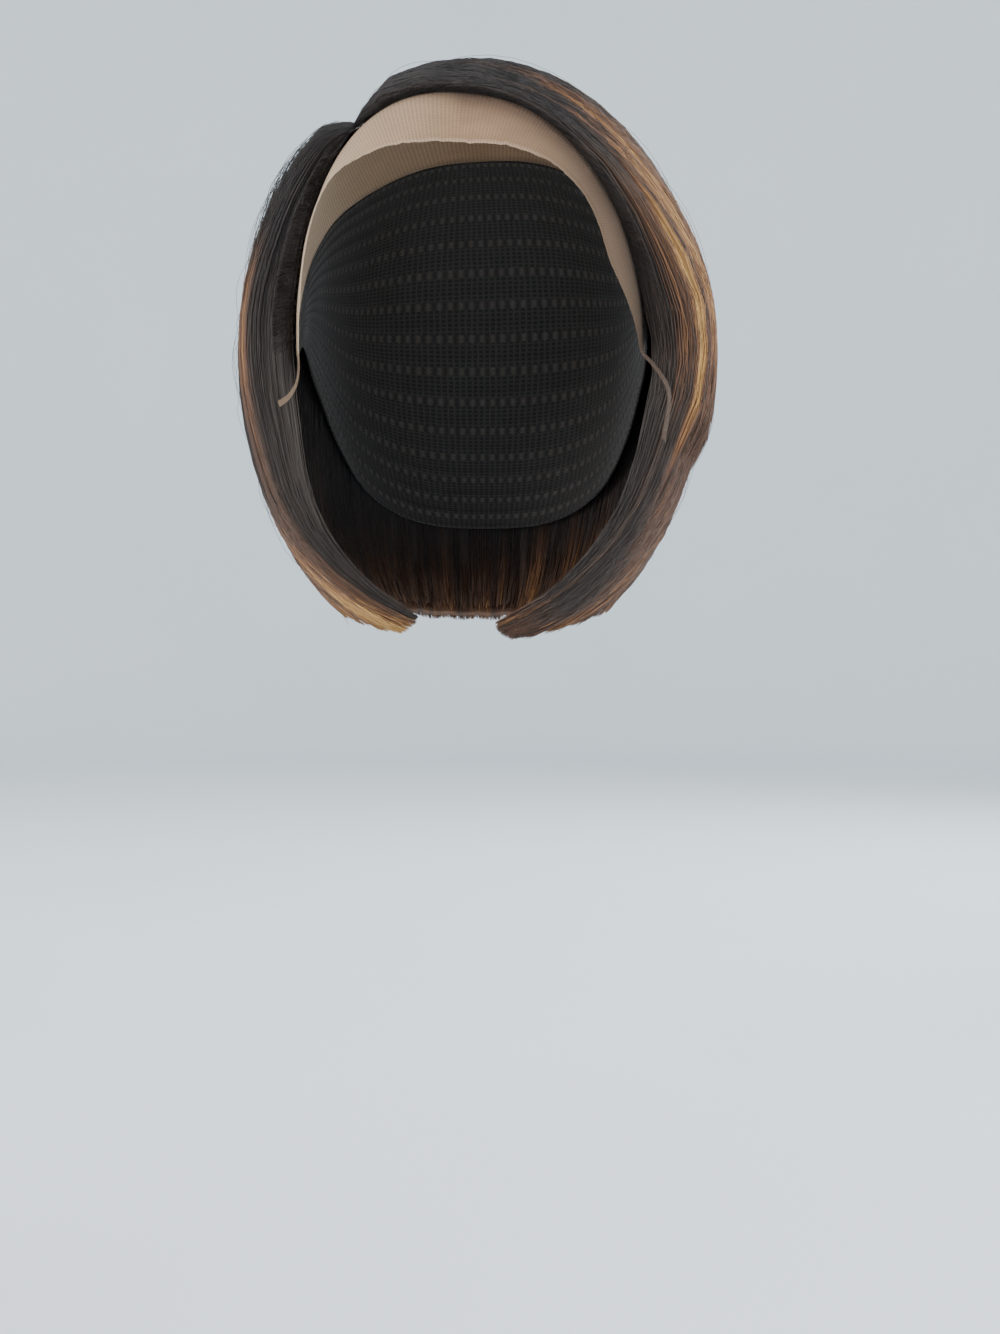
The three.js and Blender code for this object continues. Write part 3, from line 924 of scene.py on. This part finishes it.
sweep_mesh.shade_smooth()
sweep = bpy.data.objects.new("paper_sweep", sweep_mesh)
bpy.context.scene.collection.objects.link(sweep)
paper = Finish("pale_paper", roughness=0.9)
grain = paper.noise(paper.node("ShaderNodeTexCoord", {}, {}, "Object"), 3, 2)
paper.shade(base_color=paper.mix(grain, (0.8, 0.86, 0.91), (0.84, 0.9, 0.94)))
sweep_mesh.materials.append(paper.material)

world = bpy.data.worlds.new("soft_daylight")
world.use_nodes = True
world.node_tree.nodes["Background"].inputs["Color"].default_value = (0.94, 0.97, 1.0, 1)
world.node_tree.nodes["Background"].inputs["Strength"].default_value = 1.0
bpy.context.scene.world = world
# name, place, aim, width, watts, colour
WINDOWS = [
    ("window_left", (-1.5, -1.5, 1.0), (0, 0, -0.12), 1.3, 42, (1.0, 0.97, 0.93)),
    ("window_right", (1.7, -1.0, 0.8), (0, 0, -0.12), 1.1, 26, (1.0, 0.96, 0.9)),
    ("window_behind", (0.9, 1.1, 0.9), (0, 0, -0.1), 1.6, 30, (0.9, 0.96, 1.0)),
]
for name, place, aim, width, watts, colour in WINDOWS:
    light = bpy.data.lights.new(name, "AREA")
    light.shape, light.size, light.energy, light.color = "DISK", width, watts, colour
    lamp = bpy.data.objects.new(name, light)
    lamp.location = place
    toward = np.array(aim) - np.array(place)
    tilt = math.acos(-toward[2] / np.linalg.norm(toward))
    lamp.rotation_euler = (tilt, 0, math.atan2(toward[1], toward[0]) - math.pi / 2)
    bpy.context.scene.collection.objects.link(lamp)

CAMERA_TURN = 4.0
CAMERA_DISTANCE = 0.74
CAMERA_DROP = 0.252
SENSOR = 36
# in pixels of the picture: its height, the lens, and how far the wig's middle lies from its own
PICTURE_HEIGHT, LENS, WIG_ASIDE = 1334, 1664, 26
camera_data = bpy.data.cameras.new("camera")
camera_data.sensor_width = SENSOR
camera_data.lens = SENSOR * LENS / PICTURE_HEIGHT
camera_data.clip_start = 0.01
camera = bpy.data.objects.new("camera", camera_data)
turn = math.radians(CAMERA_TURN)
camera.location = (CAMERA_DISTANCE * math.sin(turn), -CAMERA_DISTANCE * math.cos(turn), -CAMERA_DROP)
camera.rotation_euler = (math.pi / 2, 0, turn - math.atan(WIG_ASIDE / LENS))
bpy.context.scene.collection.objects.link(camera)
bpy.context.scene.camera = camera
